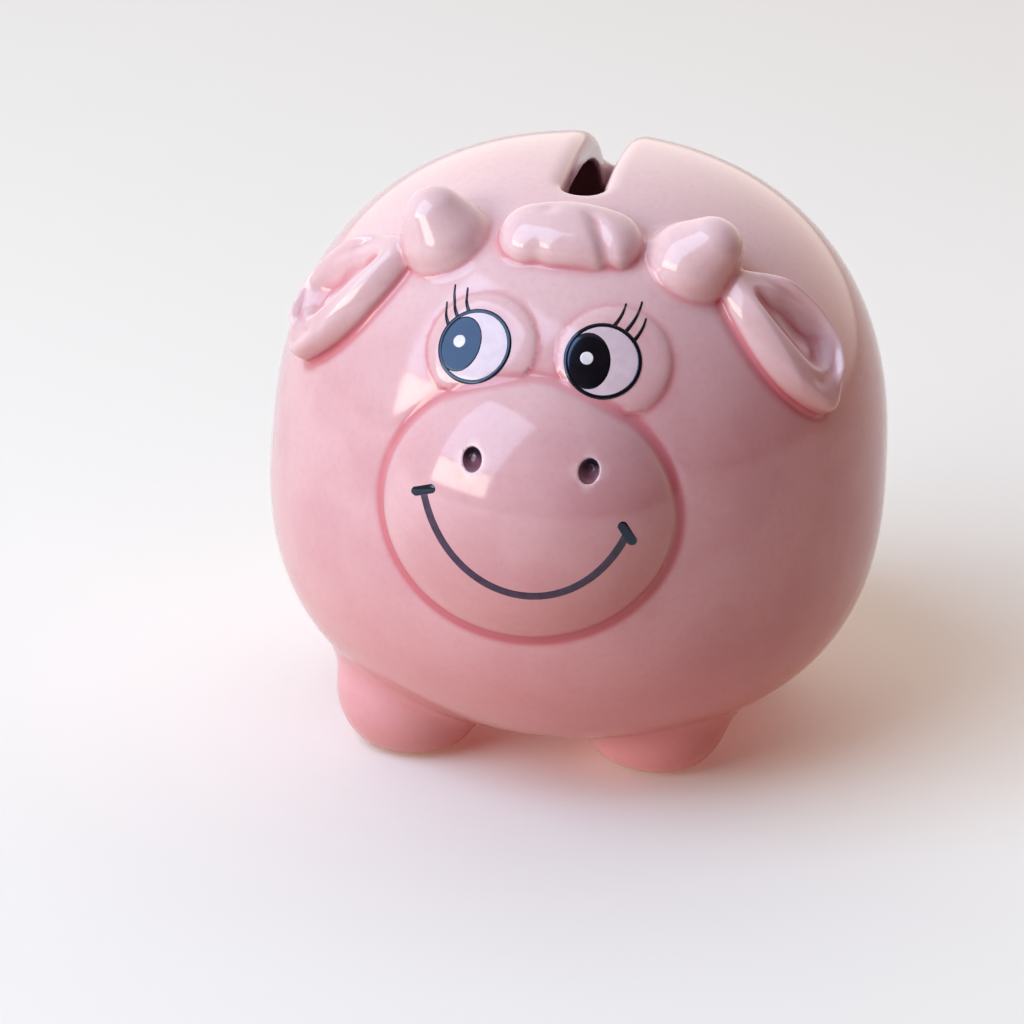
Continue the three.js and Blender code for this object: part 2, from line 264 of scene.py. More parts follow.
def hair_tuft(p):
    """Three locks in one soft roll, with a short crease on one side and a long one on the other."""
    q = TUFT_PLACE.local(p)
    across, along, thick = TUFT["lock"]
    side_lock = (across * 0.95, along * 0.93, thick * 0.97)
    distance = ellipsoid(q, (across, along, thick))
    for outer in (1.0, -1.0):
        offset = np.array([outer * TUFT["spread"], -0.1, -0.35])
        distance = smooth_min(distance, ellipsoid(q - offset, side_lock), 1.8)
    for (side, lean, low, high), depth in zip(TUFT_CREASES, TUFT_CREASE_DEPTHS):
        crease = q[:, 0] - side - lean * q[:, 1]
        reach = ramp(q[:, 1], low, low + 2.0) * (1.0 - ramp(q[:, 1], high - 2.0, high))
        distance = distance + depth * bump(crease, 0.9) * reach
    return distance


# The ear's outline and its hollow's in its own frame: x outwards, y towards its root at the horn.
EAR_OUTLINE = [
    (-2.6, 7.9), (0.0, 6.5), (2.2, 4.0), (3.8, 0.2), (4.0, -3.0), (2.4, -5.6),
    (0.0, -8.0), (-2.3, -6.6), (-4.5, -3.1), (-5.3, 0.8), (-4.7, 5.2),
]
HOLLOW_OUTLINE = [
    (-2.2, 5.4), (-0.2, 3.6), (1.6, 0.8), (2.5, -1.8),
    (1.2, -3.9), (-0.9, -3.4), (-1.9, -0.6), (-2.5, 3.0),
]


def closed_curve(points, steps=8):
    """A smooth closed curve through the points."""
    points = np.asarray(points, float)
    t = np.linspace(0.0, 1.0, steps, endpoint=False)[:, None]
    before, after, beyond = np.roll(points, 1, 0), np.roll(points, -1, 0), np.roll(points, -2, 0)
    curve = []
    for a, b, c, d in zip(before, points, after, beyond):
        squared, cubed = 2 * a - 5 * b + 4 * c - d, 3 * b - a - 3 * c + d
        curve.append(0.5 * (2 * b + (c - a) * t + squared * t**2 + cubed * t**3))
    return np.concatenate(curve)


def outline_distance(curve, softness=0, margin=6.0, cell=0.1):
    """A function of two coordinates: the signed distance to a closed curve, from a fine table of it.
    Softness is the number of times that the table is evened out."""
    low = curve.min(0) - margin
    counts = np.ceil((curve.max(0) + margin - low) / cell).astype(int) + 1
    xs, ys = (low[i] + cell * np.arange(counts[i]) for i in (0, 1))
    x, y = np.meshgrid(xs, ys, indexing="ij")
    nearest = np.full(x.shape, 1e9)
    inside = np.zeros(x.shape, bool)
    for a, b in zip(curve, np.roll(curve, -1, 0)):
        along = b - a
        share = np.clip(((x - a[0]) * along[0] + (y - a[1]) * along[1]) / (along @ along), 0.0, 1.0)
        nearest = np.minimum(nearest, np.hypot(x - a[0] - share * along[0], y - a[1] - share * along[1]))
        crosses = (a[1] > y) != (b[1] > y)
        slope = along[0] / along[1] if along[1] else 0.0
        inside ^= crosses & (x < a[0] + (y - a[1]) * slope)
    table = np.where(inside, -nearest, nearest)
    for _ in range(softness):
        table[1:-1] = (table[:-2] + 2.0 * table[1:-1] + table[2:]) / 4.0
        table[:, 1:-1] = (table[:, :-2] + 2.0 * table[:, 1:-1] + table[:, 2:]) / 4.0

    def look_up(u, v):
        i = np.clip((u - low[0]) / cell, 0.0, counts[0] - 1.001)
        j = np.clip((v - low[1]) / cell, 0.0, counts[1] - 1.001)
        i0, j0 = i.astype(int), j.astype(int)
        s, t = i - i0, j - j0
        first = table[i0, j0] * (1 - t) + table[i0, j0 + 1] * t
        second = table[i0 + 1, j0] * (1 - t) + table[i0 + 1, j0 + 1] * t
        return first * (1 - s) + second * s

    return look_up


EAR_EDGE = outline_distance(closed_curve(EAR_OUTLINE), softness=4)
EAR_HOLLOW = outline_distance(closed_curve(HOLLOW_OUTLINE), softness=40)


def ear_relief(x, y, edge):
    """How far the ear stands off the body: a thin rim outside, a hollow and a broad front fold."""
    hollow = -EAR_HOLLOW(x, y)
    relief = EAR["rise"] - 0.35 * ramp(y, 3.0, 8.0) - EAR["droop"] * ramp(x, 0.5, 4.0)
    relief -= 0.9 * ramp(-x, 3.3, 5.6)
    relief += EAR["rim"] * bump(edge + 0.6, 0.6) * ramp(x, -0.5, 1.5) * ramp(y, -7.0, -5.0)
    broad_fold = ramp(hollow, -1.6, 0.4) * ramp(x, -1.0, 1.0)
    relief -= EAR["hollow"] * (0.75 * ramp(hollow, -0.6, 1.2) + 0.25 * broad_fold)
    relief += 0.5 * bump(np.hypot(x - 0.2, y + 2.1), 1.1)
    crease = y + 5.0 - 0.15 * (x + 0.3) ** 2
    return relief - 0.22 * bump(crease, 0.7) * ramp(x, -2.4, -1.0) * ramp(-edge, 0.3, 1.3)


def ear(outer):
    """A drooping leaf that leans outwards."""
    root = on_body(outer * EAR["root"][0], EAR["root"][1])
    tip = on_body(outer * EAR["tip"][0], EAR["tip"][1])
    middle = (root + tip) / 2.0
    place = Placing(middle, outwards(on_body(middle[0], middle[2])), root - tip)

    def distance(p):
        q = place.local(p)
        height = plain_body(p)
        x = outer * q[:, 0] - EAR["lean"] * np.clip(height, 0.0, 4.0)
        edge = EAR_EDGE(x, q[:, 1])
        side = 1.0 + 1.0 * ramp(-x, 1.0, 4.0)
        return smooth_max(edge, height - ear_relief(x, q[:, 1], edge), side) * 0.8

    return distance


def foot(outer, end):
    low, high = cad_box(f"{end}_{'left' if outer > 0 else 'right'}_foot")
    x = high[0] - FOOT["half"][0] if outer > 0 else low[0] + FOOT["half"][0]
    y = low[1] + FOOT["half"][1] - AXIS_Y
    middle = np.array([x, y, FOOT["height"]])
    return lambda p: smooth_max(ellipsoid(p - middle, FOOT["half"]), -p[:, 2], FOOT["round"])


def tail(p):
    """A cord that bows to one side of the back and ends in a combed tuft."""
    points = []
    for t in np.linspace(0.0, 1.0, 9):
        side = TAIL["root"][0] + (TAIL["tip"][0] - TAIL["root"][0]) * t**2
        side += TAIL["bow"] * math.sin(math.pi * t) * (1.0 - t)
        height = TAIL["root"][1] + (TAIL["tip"][1] - TAIL["root"][1]) * t
        point = on_body(side, height, 1.0)
        points.append(point + outwards(point) * TAIL["radius"] / 3.0)
    distance = np.full(len(p), 1e3)
    for index, (a, b) in enumerate(zip(points, points[1:])):
        thick = TAIL["radius"] * (1.25 - 0.35 * index / 7.0)
        distance = smooth_min(distance, round_cone(p, a, b, thick, thick * 0.97), 0.25)
    hair = Placing(points[-1], outwards(points[-1]), points[-2] - points[-1])
    q = hair.local(p)
    width, length = TAIL["tuft"]
    q[:, 1] += 1.2
    narrowing = 1.0 + 0.28 * np.clip(q[:, 1] / length, -1.0, 1.0)
    stretch = np.stack([2.0 - narrowing, np.ones(len(q)), np.ones(len(q))], 1)
    lock = ellipsoid(q / stretch, (width, length, 2.4))
    combed = 0.16 * (0.5 + 0.5 * np.cos(q[:, 0] * 2.6 * narrowing)) * ramp(-q[:, 1], -2.5, 0.5)
    return smooth_min(distance, lock + combed, 0.8)


PARTS = [
    Part("muzzle", muzzle, fillet=0.5, groove=0.13, cell=0.26),
    Part("hair_tuft", hair_tuft, fillet=1.0, groove=0.12, cell=0.2),
    Part("tail", tail, fillet=0.9, groove=0.05, cell=0.22),
]
for side_name, outer_side in (("left", 1.0), ("right", -1.0)):
    PARTS += [
        Part(f"{side_name}_horn", horn(outer_side), fillet=1.2, groove=0.12, cell=0.24),
        Part(f"{side_name}_ear", ear(outer_side), fillet=0.6, groove=0.15, cell=0.17),
        Part(f"front_{side_name}_foot", foot(outer_side, "front"), fillet=2.0, cell=0.3),
        Part(f"rear_{side_name}_foot", foot(outer_side, "rear"), fillet=2.0, cell=0.3),
    ]


def ceramic(p):
    """Distance to the outside of the whole fired ceramic, with every joint filled by glaze."""
    base = trunk(p)
    distance = base.copy()
    for part in PARTS:
        near = part.near(p)
        if near.any():
            own = part.distance(p[near])
            groove = part.groove * bump(np.hypot(base[near], own), 0.5)
            distance[near] = smooth_min(distance[near], own, part.fillet) + groove
    return distance


def seam(p, chosen=None):
    """Below 0 where a chosen luted piece owns the surface, or any piece if none is chosen."""
    owned = np.full(len(p), 50.0)
    others = np.full(len(p), 50.0)
    for part in PARTS:
        near = part.near(p)
        if near.any():
            own = part.distance(p[near])
            if chosen is None:
                owned[near] = np.minimum(owned[near], own - part.fillet)
            elif part is chosen:
                owned[near] = own
            else:
                others[near] = np.minimum(others[near], own)
    if chosen is None:
        return owned
    return np.maximum(owned - chosen.fillet, owned - others)


# ---------------------------------------------------------------- openings
def slot_cut(p):
    """A slot through the crown with round corners, fore and aft."""
    corner = SLOT["corner"]
    x = np.abs(p[:, 0]) - SLOT["width"] / 2.0 + corner
    y = np.abs(p[:, 1] - SLOT["middle"]) - SLOT["length"] / 2.0 + corner
    flat = np.hypot(np.maximum(x, 0.0), np.maximum(y, 0.0)) + np.minimum(np.maximum(x, y), 0.0) - corner
    return np.maximum(flat, MIDDLE - p[:, 2])


def hole_cut(p):
    flat = np.hypot(p[:, 0], p[:, 1] - HOLE["back"]) - HOLE["radius"]
    return np.maximum(flat, p[:, 2] - SEAT - 2.0 * WALL)


def opened(distance, p):
    distance = smooth_max(distance, -slot_cut(p), SLOT["lip"])
    return smooth_max(distance, -hole_cut(p), HOLE["lip"])


def glazed(p):
    """The whole visible surface: the ceramic with its slot and its hole."""
    return opened(ceramic(p), p)


def body_solid(p):
    """The hollow body, sunk a little under each luted piece."""
    covered = ramp(-seam(p), 0.0, 0.8)
    outside = ceramic(p) * (1.0 - covered) + (trunk(p) + 0.3) * covered
    cavity = smooth_max(plain_body(p) + WALL, SEAT + WALL - p[:, 2], 2.0)
    return smooth_max(opened(outside, p), -cavity, 0.5)


def part_solid(part):
    """A luted piece: the glazed surface that it owns, closed inside the body's wall."""

    def distance(p):
        owned = seam(p, part)
        front = ceramic(p) + 0.12 * ramp(owned, -0.1, 0.5)
        return np.maximum(np.maximum(front, -trunk(p) - 0.8), owned - 0.4)

    return distance


# ---------------------------------------------------------------- meshing
def active_blocks(field, low, counts, cell, block=4):
    """Marks the grid points of every block that the surface may pass through."""
    blocks = -(-counts // block)
    centres = np.stack(np.meshgrid(*[np.arange(n) for n in blocks], indexing="ij"), -1).reshape(-1, 3)
    values = in_chunks(field, low + (centres + 0.5) * block * cell)
    reach = 0.5 * block * cell * math.sqrt(3.0) * 1.7
    near = (np.abs(values) < reach).reshape(blocks)
    signs = np.where(values < 0.0, -1.0, 1.0).reshape(blocks)
    for axis in range(3):
        near, signs = (np.repeat(a, block, axis=axis) for a in (near, signs))
    crop = tuple(slice(0, n) for n in counts)
    return near[crop], signs[crop]


def in_chunks(field, p, size=400000):
    return np.concatenate([field(p[i : i + size]) for i in range(0, len(p), size)])


def surface_net(field, low, high, cell):
    """Vertices and quads of the field's zero surface, one vertex in each grid cell that it crosses."""
    low = np.asarray(low, float)
    counts = np.ceil((np.asarray(high) - low) / cell).astype(int) + 1
    near, values = active_blocks(field, low, counts, cell)
    index = np.stack(np.nonzero(near), 1)
    values = values * 10.0
    values[near] = in_chunks(field, low + index * cell)
    inside = values < 0.0
    corner = [(i, j, k) for i in (0, 1) for j in (0, 1) for k in (0, 1)]
    cells = counts - 1

    def at(array, offset):
        return array[tuple(slice(o, o + n) for o, n in zip(offset, cells))]

    total = sum(at(inside, c).astype(np.int8) for c in corner)
    found = np.stack(np.nonzero((total > 0) & (total < 8)), 1)
    places = np.zeros((len(found), 3))
    crossings = np.zeros(len(found))
    for a in corner:
        for axis in range(3):
            if a[axis]:
                continue
            b = tuple(1 if n == axis else a[n] for n in range(3))
            va = values[tuple((found + a).T)]
            vb = values[tuple((found + b).T)]
            cross = (va < 0.0) != (vb < 0.0)
            share = np.where(cross, va / np.where(cross, va - vb, 1.0), 0.0)
            point = np.array(a) + share[:, None] * (np.array(b) - a)
            places += np.where(cross[:, None], point, 0.0)
            crossings += cross
    vertices = low + (found + places / crossings[:, None]) * cell
    number = np.full(cells, -1, np.int64)
    number[tuple(found.T)] = np.arange(len(found))
    quads = []
    for axis in range(3):
        u, v = (axis + 1) % 3, (axis + 2) % 3
        size = counts.copy()
        size[axis] -= 1
        start = [slice(0, n) for n in size]
        shifted = list(start)
        shifted[axis] = slice(1, counts[axis])
        one, two = inside[tuple(start)], inside[tuple(shifted)]
        edge = np.stack(np.nonzero(one != two), 1)
        edge = edge[(edge[:, u] > 0) & (edge[:, v] > 0) & (edge[:, u] < cells[u]) & (edge[:, v] < cells[v])]
        steps = []
        for du, dv in ((1, 1), (0, 1), (0, 0), (1, 0)):
            cell_index = edge.copy()
            cell_index[:, u] -= du
            cell_index[:, v] -= dv
            steps.append(number[tuple(cell_index.T)])
        quad = np.stack(steps, 1)
        leaving = one[tuple(edge.T)]
        quad[~leaving] = quad[~leaving][:, ::-1]
        quads.append(quad)
    return vertices, np.concatenate(quads)


def relaxed(vertices, quads, rounds):
    """Evens the mesh out by moving each vertex towards the middle of its neighbours."""
    starts = quads.ravel()
    ends = np.roll(quads, -1, axis=1).ravel()
    pairs_from = np.concatenate([starts, ends])
    pairs_to = np.concatenate([ends, starts])
    valence = np.bincount(pairs_from, minlength=len(vertices))[:, None]
    for _ in range(rounds):
        sums = [np.bincount(pairs_from, vertices[pairs_to, n], len(vertices)) for n in range(3)]
        vertices = 0.5 * vertices + 0.5 * np.stack(sums, 1) / valence
    return vertices


def settled(field, vertices, cell, rounds=3):
    """Moves the vertices onto the field's zero surface."""
    for _ in range(rounds):
        steep = slopes(field, vertices, 0.02)
        squared = np.maximum((steep**2).sum(1), 0.05)
        step = (field(vertices) / squared)[:, None] * steep
        length = np.linalg.norm(step, axis=1, keepdims=True)
        vertices = vertices - step * np.minimum(1.0, cell / np.maximum(length, 1e-9))
    return vertices


def solid_mesh(field, low, high, cell):
    vertices, quads = surface_net(field, low, high, cell)
    vertices = relaxed(vertices, quads, 2)
    return settled(field, vertices, cell), quads


# ---------------------------------------------------------------- objects
def make_object(name, vertices, faces, body, slot, node=None):
    """A Blender object from millimetres in the bank's frame, riding on its body."""
    mesh = bpy.data.meshes.new(name)
    places = (np.asarray(vertices) + (0.0, AXIS_Y, 0.0)) * MM
    if isinstance(faces, np.ndarray):
        mesh.vertices.add(len(places))
        mesh.vertices.foreach_set("co", places.astype(np.float32).ravel())
        mesh.loops.add(faces.size)
        mesh.loops.foreach_set("vertex_index", faces.astype(np.int32).ravel())
        mesh.polygons.add(len(faces))
        mesh.polygons.foreach_set("loop_start", np.arange(0, faces.size, faces.shape[1], dtype=np.int32))
        mesh.update(calc_edges=True)
    else:
        mesh.from_pydata(places.tolist(), [], faces)
    mesh.validate()
    mesh.polygons.foreach_set("use_smooth", np.ones(len(mesh.polygons), bool))
    piece = bpy.data.objects.new(name, mesh)
    bpy.context.scene.collection.objects.link(piece)
    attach(piece, body)
    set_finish(piece, slot)
    if node:
        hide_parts(node)
    return piece


def write_attribute(piece, name, values):
    layer = piece.data.attributes.new(name, "FLOAT", "POINT")
    layer.data.foreach_set("value", np.asarray(values, np.float32))


def places_of(piece):
    flat = np.zeros(len(piece.data.vertices) * 3, np.float32)
    piece.data.vertices.foreach_get("co", flat)
    return flat.reshape(-1, 3).astype(float) / MM - (0.0, AXIS_Y, 0.0)


def bend(field, p, step):
    """How the surface curves: above 0 on a ridge and below 0 in a crease, per millimetre."""
    total = -6.0 * field(p)
    for axis in np.eye(3) * step:
        total += field(p + axis) + field(p - axis)
    return total / step**2


def glaze_attributes(piece, field):
    """Where the glaze pools (partly painted shade in creases and under things), runs thin or was wiped off,
    painted shade low down, painted light on the top, and smooth normals from the field.
    """
    p = places_of(piece)
    normals = slopes(field, p, 0.05)
    normals /= np.maximum(np.linalg.norm(normals, axis=1, keepdims=True), 1e-6)
    fine, broad = bend(field, p, 0.4), bend(field, p, 1.2)
    # Partly painted shade: creases darken where the glaze pools and where shade falls in them.
    pool_and_shade = 0.95 * ramp(-fine, 0.15, 2.0) + 0.6 * ramp(-broad, 0.03, 0.7)
    thin = ramp(fine, 0.35, 1.6) + 0.5 * ramp(broad, 0.25, 0.8)
    # Painted shade: downward-facing surfaces get more of the pooled rose, as shade falls under things.
    under = 0.62 - 0.38 * normals[:, 2]
    write_attribute(piece, "pool_and_shade", np.clip(pool_and_shade * under, 0.0, 1.0))
    write_attribute(piece, "thin", np.clip(thin, 0.0, 1.0))
    # Painted light: the top and upward-facing surfaces turn paler, as light falls from above.
    write_attribute(piece, "crown", ramp(p[:, 2] + 8.0 * normals[:, 2], MIDDLE + 4.0, TOP + 6.0))
    # Painted shade: lower and downward-facing surfaces turn a deeper pink, as less light reaches them.
    low = 0.5 * ramp(MIDDLE - p[:, 2], -6.0, MIDDLE - SEAT) + 0.6 * ramp(-normals[:, 2], -0.15, 0.9)
    write_attribute(piece, "low_shade", np.clip(low, 0.0, 1.0))
    write_attribute(piece, "bare", ramp(-p[:, 2], -0.55, -0.25))
    return normals


def smooth_normals(piece, normals, keep_from):
    """Sets the field's normals where they agree with the faces, and leaves the hidden back alone."""
    flat = np.zeros(len(piece.data.vertices) * 3, np.float32)
    piece.data.vertex_normals.foreach_get("vector", flat)
    own = flat.reshape(-1, 3)
    agree = (own * normals).sum(1) > keep_from
    chosen = np.where(agree[:, None], normals, own)
    piece.data.normals_split_custom_set_from_vertices(chosen.tolist())


def thin_out(piece, group_mask, share):
    """Collapses the marked vertices' faces to a share of their number."""
    group = piece.vertex_groups.new(name="inside")
    group.add([int(i) for i in np.nonzero(group_mask)[0]], 1.0, "ADD")
    whole = len(group_mask)
    marked = int(group_mask.sum())
    modifier = piece.modifiers.new("thin_out", "DECIMATE")
    modifier.ratio = (whole - marked * (1.0 - share)) / whole
    modifier.vertex_group = group.name
    graph = bpy.context.evaluated_depsgraph_get()
    reduced = bpy.data.meshes.new_from_object(piece.evaluated_get(graph))
    piece.modifiers.clear()
    piece.vertex_groups.clear()
    old = piece.data
    piece.data = reduced
    reduced.name = piece.name
    bpy.data.meshes.remove(old)


BODY_CELL, QUICK_BODY_CELL = 0.4, 0.8
# The share of the inside's faces that is kept, and how deep the inside starts.
INSIDE_SHARE, INSIDE_DEPTH = 0.12, WALL * 0.8


def make_body():
    reach = np.array([HALF_WIDTH, HALF_DEPTH, 0.0]) * 1.03 + (1.0, 1.0, 0.0)
    cell = BODY_CELL
    vertices, quads = solid_mesh(body_solid, -reach + (0, 0, SEAT - 1.0), reach + (0, 0, TOP + 1.0), cell)
    piece = make_object("body_shell_glazed", vertices, quads, "bank", "body_glaze", "body_shell")
    inner = plain_body(places_of(piece)) < -INSIDE_DEPTH
    thin_out(piece, inner, INSIDE_SHARE)
    smooth_normals(piece, glaze_attributes(piece, glazed), 0.9)
    return piece


def make_part(part):
    slots = {n["node"]: n["material_slot"] for n in frame["record"]["subparts"]}
    cell = part.cell * 1.0
    vertices, quads = solid_mesh(part_solid(part), part.low, part.high, cell)
    piece = make_object(part.node + "_glazed", vertices, quads, "bank", slots[part.node], part.node)
    smooth_normals(piece, glaze_attributes(piece, glazed), 0.75)
    return piece


# ---------------------------------------------------------------- printed enamel
EYE = {"side": 5.8, "height": 45.2, "radius": 3.5, "drift": -0.8, "outline": 0.4}
PUPIL = {"side": -1.3, "rise": -0.05, "half": (2.0, 2.62)}
GLINT = {"side": -1.45, "rise": 0.15, "radius": 0.6}
LASH = {"angles": (35.0, 55.0, 76.0), "lengths": (2.4, 3.4, 2.5), "half": 0.19, "twist": -11.0}
LASH_HEADINGS = (48.0, 78.0)
SMILE = {"side": 0.3, "rise": 5.6, "half": (10.0, 12.1), "lean": 9.6, "stroke": 0.74, "tick": 2.5}
SMILE_ENDS = (-80.0, 54.0)
TICK_TURNS = (-68.0, 32.0)
LAYER = 0.03
SUNK = 0.08


def cast(place, q, lift):
    """Points at a height over the glaze, where lines along the placing's own z meet the surface."""
    p = place.world(np.column_stack([q, np.full(len(q), 5.0)]))
    for _ in range(60):
        p = p - place.axes[2] * np.clip(ceramic(p), -1.0, 1.0)[:, None] * 0.8
    steep = slopes(ceramic, p, 0.05)
    steep /= np.linalg.norm(steep, axis=1, keepdims=True)
    return p + steep * np.asarray(lift)[:, None]


def spot(place, middle, half, lift, around=64):
    """A thin flat-topped round spot, closed underneath. Returns its vertices and faces."""
    rings = [(0.2, lift), (0.4, lift), (0.6, lift), (0.8, lift), (0.93, lift), (0.98, lift * 0.7), (1.0, 0.0)]
    rings += [(0.97, -SUNK), (0.6, -SUNK), (0.25, -SUNK)]
    angles = np.arange(around) * 2.0 * math.pi / around
    flat, heights = [np.array([middle])], [np.array([lift])]
    for share, height in rings:
        edge = np.column_stack([half[0] * np.cos(angles), half[1] * np.sin(angles)])
        flat.append(np.array(middle) + share * edge)
        heights.append(np.full(around, height))
    flat.append(np.array([middle]))
    heights.append(np.array([-SUNK]))
    vertices = cast(place, np.concatenate(flat), np.concatenate(heights))
    last = 1 + len(rings) * around
    faces = []
    for n in range(around):
        m = (n + 1) % around
        faces.append((0, 1 + n, 1 + m))
        for ring in range(len(rings) - 1):
            row = 1 + ring * around
            faces.append((row + n, row + around + n, row + around + m, row + m))
        faces.append((last - around + n, last, last - around + m))
    return vertices, faces


def stroke(place, line, half_width, lift, closed=False):
    """A line of enamel with a rounded top, closed underneath.
    half_width is a function of the share of the way along it."""
    line = np.asarray(line, float)
    if closed:
        ahead, behind = np.roll(line, -1, 0), np.roll(line, 1, 0)
    else:
        ahead, behind = np.vstack([line[1:], line[-1:]]), np.vstack([line[:1], line[:-1]])
    along = ahead - behind
    along /= np.linalg.norm(along, axis=1, keepdims=True)
    across = np.column_stack([-along[:, 1], along[:, 0]])
    section = [(-1.0, 0.0), (-0.85, 0.7), (-0.5, 1.0), (0.0, 1.0), (0.5, 1.0), (0.85, 0.7), (1.0, 0.0)]
    section = [(s, h * lift) for s, h in section] + [(0.9, -SUNK), (0.0, -SUNK), (-0.9, -SUNK)]
    share = np.linspace(0.0, 1.0, len(line))
    widths = np.array([half_width(t) for t in share])
    sideways = np.array([s for s, _ in section])[None, :, None]
    flat = line[:, None, :] + across[:, None, :] * widths[:, None, None] * sideways
    heights = np.tile([h for _, h in section], len(line))
    vertices = cast(place, flat.reshape(-1, 2), heights)
    count, rows = len(section), len(line)
    faces = []
    for row in range(rows if closed else rows - 1):
        a, b = row * count, ((row + 1) % rows) * count
        faces += [(a + n, b + n, b + (n + 1) % count, a + (n + 1) % count) for n in range(count)]
    if not closed:
        faces.append(tuple(range(count)))
        faces.append(tuple(reversed(range((rows - 1) * count, rows * count))))
    return vertices, faces


def round_ended(points, half_start, half_end, steps=24):
    """An even line through the points with extra stations at its ends, and its half width there."""
    points = np.asarray(points, float)
    lengths = np.concatenate([[0.0], np.cumsum(np.linalg.norm(np.diff(points, axis=0), axis=1))])
    total = lengths[-1]
    turn = np.linspace(0.05, 1.0, 6) * math.pi / 2.0
    near_start = half_start * (1.0 - np.cos(turn))
    near_end = total - half_end * (1.0 - np.cos(turn))[::-1]
    places = np.concatenate([near_start, np.linspace(near_start[-1], near_end[0], steps)[1:-1], near_end])
    line = np.column_stack([np.interp(places, lengths, points[:, n]) for n in (0, 1)])
    plain = half_start + (half_end - half_start) * places / total
    widths = plain.copy()
    from_start, to_end = places, total - places
    start, end = from_start < half_start, to_end < half_end
    widths[start] = np.sqrt(np.maximum(half_start**2 - (half_start - from_start[start]) ** 2, 1e-4))
    widths[end] = np.sqrt(np.maximum(half_end**2 - (half_end - to_end[end]) ** 2, 1e-4))
    return line, lambda share: float(np.interp(share, np.linspace(0.0, 1.0, len(widths)), widths))


def joined(shapes):
    vertices, faces = [], []
    offset = 0
    for points, polygons in shapes:
        vertices.append(points)
        faces += [tuple(index + offset for index in polygon) for polygon in polygons]
        offset += len(points)
    return np.concatenate(vertices), faces


def enamel(name, shapes, material, node=None):
    piece = make_object(name, *joined(shapes), "bank", "black_enamel", node)
    piece.data.materials.append(material)
    return piece


def turned(point, degrees):
    angle = math.radians(degrees)
    return (
        point[0] * math.cos(angle) - point[1] * math.sin(angle),
        point[0] * math.sin(angle) + point[1] * math.cos(angle),
    )


def lash(outer, angle, length):
    """A lash's middle line: it leaves the eye's edge sideways and curls up."""

    def towards(bearing):
        return np.array([outer * math.cos(math.radians(bearing)), math.sin(math.radians(bearing))])

    start = towards(angle) * (EYE["radius"] - EYE["outline"] * 0.8)
    first, last = (towards(heading) * (length + EYE["outline"]) / 2.0 for heading in LASH_HEADINGS)
    line = []
    for t in np.linspace(0.0, 1.0, 12):
        line.append(start + first * 2.0 * t * (1.0 - t) + (first + last) * t * t)
    return line


def make_eye(side_name, outer, white, black, glint):
    place = on_surface(outer * EYE["side"] + EYE["drift"], EYE["height"])
    radius = EYE["radius"]
    enamel(f"{side_name}_eye_white", [spot(place, (0.0, 0.0), (radius - 0.1,) * 2, LAYER)], white)
    ring_radius = radius - EYE["outline"] / 2.0
    ring = []
    for n in range(96):
        angle = 2.0 * math.pi * n / 96
        ring.append((ring_radius * math.cos(angle), ring_radius * math.sin(angle)))
    shapes = [stroke(place, ring, lambda share: EYE["outline"] / 2.0, 3.0 * LAYER, closed=True)]
    twist = 0.0 if outer > 0.0 else LASH["twist"]
    for angle, length in zip(LASH["angles"], LASH["lengths"]):
        line, width = round_ended(lash(outer, angle + twist, length), LASH["half"], LASH["half"] * 0.45)
        shapes.append(stroke(place, line, width, 2.0 * LAYER))
    enamel(f"{side_name}_eye_outline", shapes, black, f"{side_name}_eye_transfer")
    pupil = spot(place, (PUPIL["side"], PUPIL["rise"]), PUPIL["half"], 2.0 * LAYER)
    enamel(f"{side_name}_pupil", [pupil], black)
    shine = spot(place, (GLINT["side"], GLINT["rise"]), (GLINT["radius"],) * 2, 3.0 * LAYER, around=32)
    enamel(f"{side_name}_pupil_glint", [shine], glint)


def make_smile(ink, black):
    def at(degrees):
        angle = math.radians(degrees)
        point = (SMILE["half"][0] * math.sin(angle), -SMILE["half"][1] * math.cos(angle))
        x, y = turned(point, SMILE["lean"])
        return (x + SMILE["side"], y + SMILE["rise"])

    half = SMILE["stroke"] / 2.0
    line, width = round_ended([at(angle) for angle in np.linspace(*SMILE_ENDS, 60)], half, half, steps=70)
    enamel("smile_line", [stroke(MUZZLE_PLACE, line, width, LAYER)], ink, "smile_transfer")
    ticks = []
    for end, turn in zip(SMILE_ENDS, TICK_TURNS):
        x, y = at(end)
        dx, dy = turned((0.0, SMILE["tick"] / 2.0), turn)
        across = [(x - dx, y - dy), (x, y), (x + dx, y + dy)]
        bar, width = round_ended(across, half * 1.1, half * 1.1, steps=12)
        ticks.append(stroke(MUZZLE_PLACE, bar, width, 2.0 * LAYER))
    enamel("smile_ticks", ticks, black)


def make_nostrils(dark):
    for side_name, place in zip(("left", "right"), NOSTRIL_PLACES):
        half = NOSTRIL["half"]
        printed = spot(place, (0.0, 0.0), (half[0] + 0.05, half[1] + 0.1), LAYER)
        piece = enamel(f"{side_name}_nostril", [printed], dark)
        rise = place.local(places_of(piece))[:, 1] / half[1]
        write_attribute(piece, "rise", 0.5 + 0.5 * rise)


# ---------------------------------------------------------------- stopper
STOPPER = {"flange": 8.55, "thickness": 1.2, "neck": 7.15, "rib": 7.6, "length": 6.5, "wall": 1.2}
GRIP = {"radius": 6.1, "depth": 0.8, "bar": 2.2}


def rounded_disc(radial, height, radius, low, high, edge):
    """Distance to a disc about the z axis with rounded edges."""
    x = radial - radius + edge
    z = np.abs(height - (low + high) / 2.0) - (high - low) / 2.0 + edge
    return np.hypot(np.maximum(x, 0.0), np.maximum(z, 0.0)) + np.minimum(np.maximum(x, z), 0.0) - edge


